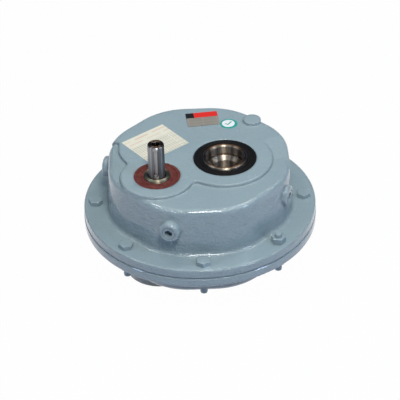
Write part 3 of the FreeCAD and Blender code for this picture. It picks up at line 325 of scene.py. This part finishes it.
# Flange fixings: M10 hexagon bolts, nuts and one stud in rolled steel, put in before spraying, so the
# same enamel covers them in a smoother coat.
fixing_enamel = enamel("enamel_on_steel_fixings", 5, 0.4, 1.6, 0.15, 0.2, 0.6, 0.4)
dress(fixing_enamel, "casing_bolts", "casing_nuts", "torque_arm_stud", "stud_nuts")


# Threads: the rolled M10 threads that show on the bolt ends under the nuts and on the stud above its nut,
# a ridge of 1.5 mm pitch wound round each plain core, under the same enamel.
BOLT_CIRCLE_R = 142.0
THREAD_R = 5.0
THREAD_PITCH = 1.5
RIDGE_H = 0.32
RIDGE_W = 0.8
BOLT_THREAD_Z = -32.2
STUD_THREAD_Z = 21.3
STUD_ANGLE = -45


def finish_piece(piece, name, body):
    piece.name = name
    bpy.ops.object.transform_apply(location=True, rotation=True, scale=True)
    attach(piece, body)


def wind_thread(turns):
    bpy.ops.object.select_all(action="DESELECT")
    bpy.ops.mesh.primitive_circle_add(vertices=3, radius=MM, rotation=(math.pi / 2, math.pi / 2, 0))
    thread = bpy.context.object
    bpy.ops.object.transform_apply(location=True, rotation=True, scale=True)
    thread.scale = (RIDGE_H, 1, RIDGE_W)
    thread.location = ((THREAD_R - RIDGE_H) * MM, 0, 0)
    bpy.ops.object.transform_apply(location=True, rotation=True, scale=True)
    winding = thread.modifiers.new("winding", "SCREW")
    winding.screw_offset = THREAD_PITCH * MM
    winding.iterations = turns
    winding.steps = 24
    winding.render_steps = 24
    bpy.ops.object.modifier_apply(modifier="winding")
    bpy.ops.object.mode_set(mode="EDIT")
    bpy.ops.mesh.select_all(action="SELECT")
    bpy.ops.mesh.remove_doubles(threshold=0.001 * MM)
    bpy.ops.mesh.fill_holes(sides=3)
    bpy.ops.mesh.select_all(action="SELECT")
    bpy.ops.mesh.normals_make_consistent(inside=False)
    bpy.ops.object.mode_set(mode="OBJECT")
    bpy.ops.object.shade_smooth_by_angle(angle=math.radians(35))
    thread.data.materials.append(fixing_enamel)
    return thread


def set_thread(thread, name, low_z, degrees):
    turn = math.radians(degrees)
    x = CASE_X + BOLT_CIRCLE_R * math.cos(turn)
    y = CASE_Y + BOLT_CIRCLE_R * math.sin(turn)
    thread.location = (x * MM, y * MM, low_z * MM)
    finish_piece(thread, name, "casing")


bolt_thread = wind_thread(7)
for i in range(1, 8):
    bpy.ops.object.select_all(action="DESELECT")
    bolt_thread.select_set(True)
    bpy.context.view_layer.objects.active = bolt_thread
    bpy.ops.object.duplicate(linked=False)
    set_thread(bpy.context.object, f"bolt_thread_{i}", BOLT_THREAD_Z, 45 * i)
bpy.ops.object.select_all(action="DESELECT")
bolt_thread.select_set(True)
bpy.context.view_layer.objects.active = bolt_thread
set_thread(bolt_thread, "bolt_thread_0", BOLT_THREAD_Z, 0)
set_thread(wind_thread(3), "stud_thread_0", STUD_THREAD_Z, STUD_ANGLE)


# Oil plugs: steel screw plugs with a hexagon socket, sprayed over with the casing. The spray doesn't reach
# the floor of the sockets, and the enamel's corner darkening is set strongest here, so sockets and other
# deep
# recesses go near black: part oil, part painted shade.
plug_enamel = enamel("enamel_on_socket_plugs", 5, 0.4, 1.6, 0.15, 0.2, 1.0, 0.4)
dress(plug_enamel, "oil_plugs")


# Nameplate: a thin aluminium plate glued on the back of the machined face, brushed and lacquered, with a
# printed red band and a black block along its upper edge. It carries no words.
PLATE_X = -26.7
PLATE_Y = 94.5
PLATE_TURN = 6.0
BAND_LOW_Y = 4.2
BLOCK_RIGHT_X = -11.0
FIELD_L = 20.0
FIELD_W = 6.0
FIELD_LINE = 0.35


# Brushed aluminium under lacquer: fine scratches along the plate, drawn coarser than real so that they show.
def printed_aluminium(name):
    material, shader = start(name)
    place = add(material, "TexCoord", {}).outputs["Object"]
    own = add(material, "Mapping", {"Vector": place, "Location": (PLATE_X * MM, PLATE_Y * MM, 0),
                                    "Rotation": (0, 0, math.radians(PLATE_TURN))}, vector_type="TEXTURE")
    parts = add(material, "SeparateXYZ", {"Vector": own.outputs[0]})
    stretched = add(material, "Mapping", {"Vector": own.outputs[0], "Scale": (0.05, 1, 1)})
    brushing = add(material, "TexNoise", {"Vector": stretched.outputs[0], "Scale": 1 / (0.5 * MM),
                                          "Detail": 3.0})
    metal = add(material, "MixRGB", {"Fac": brushing.outputs["Fac"], "Color1": linear("#928D81"),
                                     "Color2": linear("#B2AB9E")})
    fields = add(material, "TexBrick", {"Vector": own.outputs[0], "Scale": 1.0, "Color1": (0, 0, 0, 1),
                                        "Color2": (0, 0, 0, 1), "Mortar": (1, 1, 1, 1),
                                        "Mortar Size": FIELD_LINE * MM, "Brick Width": FIELD_L * MM,
                                        "Row Height": FIELD_W * MM}, offset=0.0)
    ruled = add(material, "MixRGB", {"Fac": fields.outputs["Color"], "Color1": metal.outputs[0],
                                     "Color2": linear("#B6B0A4")})
    in_band = add(material, "Math", {0: parts.outputs["Y"], 1: BAND_LOW_Y * MM}, operation="GREATER_THAN")
    in_block = add(material, "Math", {0: parts.outputs["X"], 1: BLOCK_RIGHT_X * MM}, operation="LESS_THAN")
    print_colour = add(material, "MixRGB", {"Fac": in_block.outputs[0], "Color1": linear("#DC2A20"),
                                            "Color2": linear("#161514")})
    colour = add(material, "MixRGB", {"Fac": in_band.outputs[0], "Color1": ruled.outputs[0],
                                      "Color2": print_colour.outputs[0]})
    metallic = add(material, "MapRange", {"Value": in_band.outputs[0], "To Min": 0.4, "To Max": 0.0})
    rough = add(material, "MapRange", {"Value": brushing.outputs["Fac"], "To Min": 0.28, "To Max": 0.5})
    bump = add(material, "Bump", {"Height": brushing.outputs["Fac"], "Distance": 0.01 * MM,
                                  "Strength": 0.5})
    wire(material, shader, {"Base Color": colour.outputs[0], "Metallic": metallic.outputs[0],
                            "Roughness": rough.outputs[0], "Normal": bump.outputs[0]})
    return material


dress(printed_aluminium("brushed_printed_aluminium"), "nameplate")


# Paper label: a cream self-adhesive sheet stuck on the machined face behind the input shaft, printed with
# plain ruled rows in grey and red.
LABEL_X = -92.9
LABEL_Y = 40.8
LABEL_TURN = 36.8
LABEL_L = 70.0
LABEL_W = 59.5
LABEL_T = 0.15
HEADING_Y = 38.5
ROW_L = 37.0
ROW_STEP = 3.1
ROW_GAP = 1.1
HEADING_ROW_L = 29.0
HEADING_ROW_STEP = 8.2
HEADING_ROW_GAP = 3.4


# Coated paper: matt cream, a little yellowed, with grey rows below and a few short red rows at its head.
def ruled_paper(name):
    material, shader = start(name, Roughness=0.62)
    sheet = add(material, "TexCoord", {}).outputs["UV"]
    sized = add(material, "Mapping", {"Vector": sheet, "Scale": (LABEL_L, LABEL_W, 1)})
    stain = add(material, "TexNoise", {"Vector": sized.outputs[0], "Scale": 1 / 22, "Detail": 4.0})
    paper = add(material, "MixRGB", {"Fac": stain.outputs["Fac"], "Color1": linear("#E0DFCC"),
                                     "Color2": linear("#D3D1BD")})
    rows = add(material, "TexBrick", {"Vector": sized.outputs[0], "Scale": 1.0,
                                      "Color1": (0.75, 0.75, 0.75, 1), "Color2": (0.3, 0.3, 0.3, 1),
                                      "Mortar": (0, 0, 0, 1), "Mortar Size": ROW_GAP, "Bias": 0.0,
                                      "Brick Width": ROW_L, "Row Height": ROW_STEP}, offset=0.37)
    parts = add(material, "SeparateXYZ", {"Vector": sized.outputs[0]})
    below = add(material, "MapRange", {"Value": parts.outputs["Y"], "From Min": HEADING_Y - 0.5,
                                       "From Max": HEADING_Y + 0.5, "To Min": 1.0, "To Max": 0.0})
    inked = add(material, "Math", {0: rows.outputs["Color"], 1: below.outputs[0]}, operation="MULTIPLY")
    grey = add(material, "MixRGB", {"Fac": inked.outputs[0], "Color1": paper.outputs[0],
                                    "Color2": linear("#7B796E")})
    red_rows = add(material, "TexBrick", {"Vector": sized.outputs[0], "Scale": 1.0,
                                          "Color1": (0.6, 0.6, 0.6, 1), "Color2": (0, 0, 0, 1),
                                          "Mortar": (0, 0, 0, 1), "Mortar Size": HEADING_ROW_GAP,
                                          "Bias": -0.1, "Brick Width": HEADING_ROW_L,
                                          "Row Height": HEADING_ROW_STEP}, offset=0.5)
    above = add(material, "Math", {0: 1.0, 1: below.outputs[0]}, operation="SUBTRACT")
    red = add(material, "Math", {0: red_rows.outputs["Color"], 1: above.outputs[0]}, operation="MULTIPLY")
    colour = add(material, "MixRGB", {"Fac": red.outputs[0], "Color1": grey.outputs[0],
                                      "Color2": linear("#D0695C")})
    wire(material, shader, {"Base Color": colour.outputs[0]})
    return material


bpy.ops.object.select_all(action="DESELECT")
bpy.ops.mesh.primitive_grid_add(x_subdivisions=20, y_subdivisions=16, size=1,
                                location=(LABEL_X * MM, LABEL_Y * MM, TOP_Z * MM),
                                rotation=(0, 0, math.radians(LABEL_TURN)))
label = bpy.context.object
label.scale = (LABEL_L * MM, LABEL_W * MM, 1)
bpy.ops.object.transform_apply(location=True, rotation=True, scale=True)
thickness = label.modifiers.new("thickness", "SOLIDIFY")
thickness.thickness = LABEL_T * MM
thickness.offset = 1
bpy.ops.object.modifier_apply(modifier="thickness")
label.data.materials.append(ruled_paper("ruled_label_paper"))
finish_piece(label, "paper_label", "casing")


# Inspection sticker: a round vinyl sticker beside the nameplate, white with a green ring and a plain tick,
# cut a little off centre as such stickers are.
STICKER_X = 9.0
STICKER_Y = 81.0
STICKER_R = 12.0
STICKER_TURN = 8.0
PRINT_OFF_X = -0.5
PRINT_OFF_Y = 0.6
PRINT_RING_R = 8.8
STROKE_HALF_W = 0.9
TICK_STROKES = [(-2.6, -1.2, -45.0, 2.6), (1.9, 0.7, 48.0, 4.6)]


# Glossy vinyl: clean white film with a flat green print.
def ringed_vinyl(name):
    material, shader = start(name, Roughness=0.35)
    place = add(material, "TexCoord", {}).outputs["Object"]
    print_place = ((STICKER_X + PRINT_OFF_X) * MM, (STICKER_Y + PRINT_OFF_Y) * MM, TOP_Z * MM)
    own = add(material, "Mapping", {"Vector": place, "Location": print_place,
                                    "Rotation": (0, 0, math.radians(STICKER_TURN))}, vector_type="TEXTURE")
    radius = add(material, "VectorMath", {0: own.outputs[0]}, operation="LENGTH")
    printed = add(material, "Math", {0: radius.outputs["Value"], 1: PRINT_RING_R * MM},
                  operation="GREATER_THAN")
    for x, y, turn, half_length in TICK_STROKES:
        along = add(material, "Mapping", {"Vector": own.outputs[0], "Location": (x * MM, y * MM, 0),
                                          "Rotation": (0, 0, math.radians(turn))}, vector_type="TEXTURE")
        away = add(material, "VectorMath", {0: along.outputs[0]}, operation="ABSOLUTE")
        parts = add(material, "SeparateXYZ", {"Vector": away.outputs[0]})
        in_length = add(material, "Math", {0: parts.outputs["X"], 1: half_length * MM},
                        operation="LESS_THAN")
        in_width = add(material, "Math", {0: parts.outputs["Y"], 1: STROKE_HALF_W * MM},
                       operation="LESS_THAN")
        stroke = add(material, "Math", {0: in_length.outputs[0], 1: in_width.outputs[0]},
                     operation="MULTIPLY")
        printed = add(material, "Math", {0: printed.outputs[0], 1: stroke.outputs[0]}, operation="MAXIMUM")
    wear = add(material, "TexNoise", {"Vector": place, "Scale": 1 / (3 * MM), "Detail": 3.0})
    white = add(material, "MixRGB", {"Fac": wear.outputs["Fac"], "Color1": linear("#EDF0EE"),
                                     "Color2": linear("#DDE2E0")})
    colour = add(material, "MixRGB", {"Fac": printed.outputs[0], "Color1": white.outputs[0],
                                      "Color2": linear("#2A9C8E")})
    wire(material, shader, {"Base Color": colour.outputs[0]})
    return material


bpy.ops.object.select_all(action="DESELECT")
bpy.ops.mesh.primitive_circle_add(vertices=64, radius=STICKER_R * MM, fill_type="NGON",
                                  location=(STICKER_X * MM, STICKER_Y * MM, TOP_Z * MM))
sticker = bpy.context.object
bpy.ops.object.mode_set(mode="EDIT")
bpy.ops.mesh.extrude_region_move(TRANSFORM_OT_translate={"value": (0, 0, LABEL_T * MM)})
bpy.ops.mesh.bevel(offset=0.05 * MM, segments=2)
bpy.ops.mesh.select_all(action="SELECT")
bpy.ops.mesh.normals_make_consistent(inside=False)
bpy.ops.object.mode_set(mode="OBJECT")
sticker.data.materials.append(ringed_vinyl("ringed_white_vinyl"))
finish_piece(sticker, "inspection_sticker", "casing")


# Floor: a plain pale studio floor that stays white where it is seen, in the metal too, keeps a soft
# shadow, and throws cool light up at the walls of the casing.
FLOOR_WIDTH_M = 12
FLOOR_GLOW = 0.985
bpy.ops.object.select_all(action="DESELECT")
bpy.ops.mesh.primitive_plane_add(size=FLOOR_WIDTH_M, location=(0, 0, cad_low.z))
floor = bpy.context.object
floor.name = "studio_floor"
floor_paint, floor_shader = start("white_studio_floor", Base_Color=linear("#92A7C6"), Roughness=0.9)
path = add(floor_paint, "LightPath", {})
direct = add(floor_paint, "Math", {0: path.outputs["Is Camera Ray"], 1: path.outputs["Is Glossy Ray"]},
             operation="MAXIMUM")
seen = add(floor_paint, "Math", {0: direct.outputs[0], 1: path.outputs["Is Transmission Ray"]},
           operation="MAXIMUM")
share = add(floor_paint, "Math", {0: seen.outputs[0], 1: FLOOR_GLOW}, operation="MULTIPLY")
glow = add(floor_paint, "Emission", {"Color": linear("#FFFFFF"), "Strength": 1.0})
blend = add(floor_paint, "MixShader", {0: share.outputs[0], 1: floor_shader.outputs[0], 2: glow.outputs[0]})
floor_out = floor_paint.node_tree.nodes["Material Output"]
floor_paint.node_tree.links.new(blend.outputs[0], floor_out.inputs["Surface"])
floor.data.materials.append(floor_paint)


# Light: a dim room that is pale overhead and dark towards the walls, a key box above the camera, two low
# cool boxes that fill the front, and two boxes high behind that catch the rounded edges.
LAMP_AIM_Z = 40.0
LAMP_DISTANCE_M = 1.6
world = bpy.data.worlds.new("studio_room")
world.use_nodes = True
bpy.context.scene.world = world
towards = add(world, "SeparateXYZ", {"Vector": add(world, "TexCoord", {}).outputs["Generated"]})
height = add(world, "MapRange", {"Value": towards.outputs["Z"], "From Min": 0.6, "From Max": 1.0})
room = add(world, "MixRGB", {"Fac": height.outputs[0], "Color1": linear("#334560"),
                             "Color2": linear("#F2F4F6")})
world.node_tree.links.new(room.outputs[0], world.node_tree.nodes["Background"].inputs["Color"])


def soft_box(name, azimuth, elevation, width, power, colour):
    turn = math.radians(azimuth)
    rise = math.radians(elevation)
    offset = Vector((math.cos(turn) * math.cos(rise), math.sin(turn) * math.cos(rise), math.sin(rise)))
    aim = Vector((CASE_X * MM, CASE_Y * MM, LAMP_AIM_Z * MM))
    bpy.ops.object.light_add(type="AREA", location=aim + offset * LAMP_DISTANCE_M)
    lamp = bpy.context.object
    lamp.name = name
    lamp.data.size = width
    lamp.data.energy = power
    lamp.data.color = linear(colour)[:3]
    lamp.rotation_euler = (-offset).to_track_quat("-Z", "Y").to_euler()


soft_box("key_box", -82, 59, 0.36, 13.9, "#FFFBF6")
soft_box("left_fill_box", -154, 36, 0.2, 1.8, "#C4DAFF")
soft_box("right_fill_box", -31, 36, 0.26, 4.9, "#C4DAFF")
soft_box("left_back_box", 138, 63, 0.2, 2.4, "#FFFCF8")
soft_box("right_back_box", 40, 63, 0.22, 4.2, "#FFFCF8")


# Camera: a long lens looking down on the unit from the front, as high and as far as in the photograph.
# Its place was fitted to the flange, the bolt heads and the openings.
LENS_MM = 145.33
SENSOR_MM = 36.0
EYE = Vector((-0.06557, -1.77741, 1.31359))
AIM = Vector((-0.03475, 0.00601, 0.01148))
ROLL = math.radians(-1.53)
bpy.ops.object.camera_add(location=EYE)
camera = bpy.context.object
camera.data.sensor_width = SENSOR_MM
camera.data.lens = LENS_MM
look = (AIM - EYE).to_track_quat("-Z", "Y").to_matrix() @ Matrix.Rotation(ROLL, 3, "Z")
camera.rotation_euler = look.to_euler()
bpy.context.scene.camera = camera
bpy.context.scene.view_settings.view_transform = "Standard"
